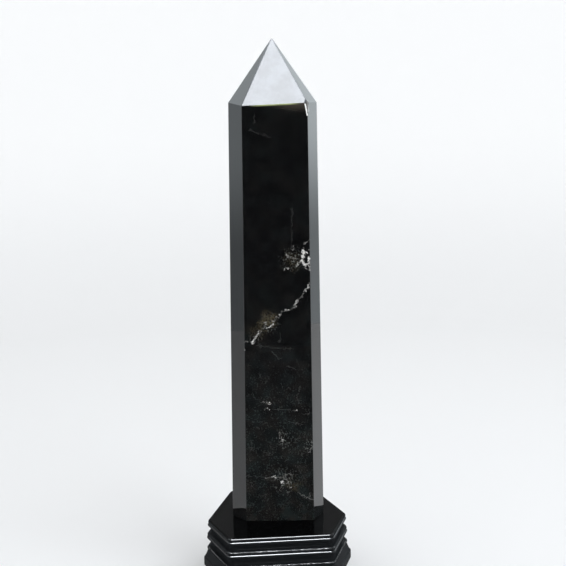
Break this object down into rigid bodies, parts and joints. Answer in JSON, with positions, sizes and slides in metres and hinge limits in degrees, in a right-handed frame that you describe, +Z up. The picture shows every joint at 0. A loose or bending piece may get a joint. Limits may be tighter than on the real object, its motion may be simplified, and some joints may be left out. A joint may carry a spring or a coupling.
{
  "type": "polished morion quartz point on a wooden stand",
  "caption": "Tall black polished quartz tower with a six-faced point, resting upright on a low black lacquered six-sided stand with a stepped, beaded edge.",
  "frame": {"origin": "under the middle of the stand, on the surface that it rests on", "axes": "+Z up along the crystal, -Y towards the viewer at the front of the stand, +X to the viewer's right"},
  "size_m": [0.0844, 0.0794, 0.3069],
  "materials": {
    "morion_quartz": "polished black quartz with thin white and brown veins inside, opaque",
    "black_lacquer": "glossy black lacquer over fine-grained wood"
  },
  "bodies": {
    "root": {"crystal": "morion_quartz", "stand": "black_lacquer"}
  },
  "joints": []
}
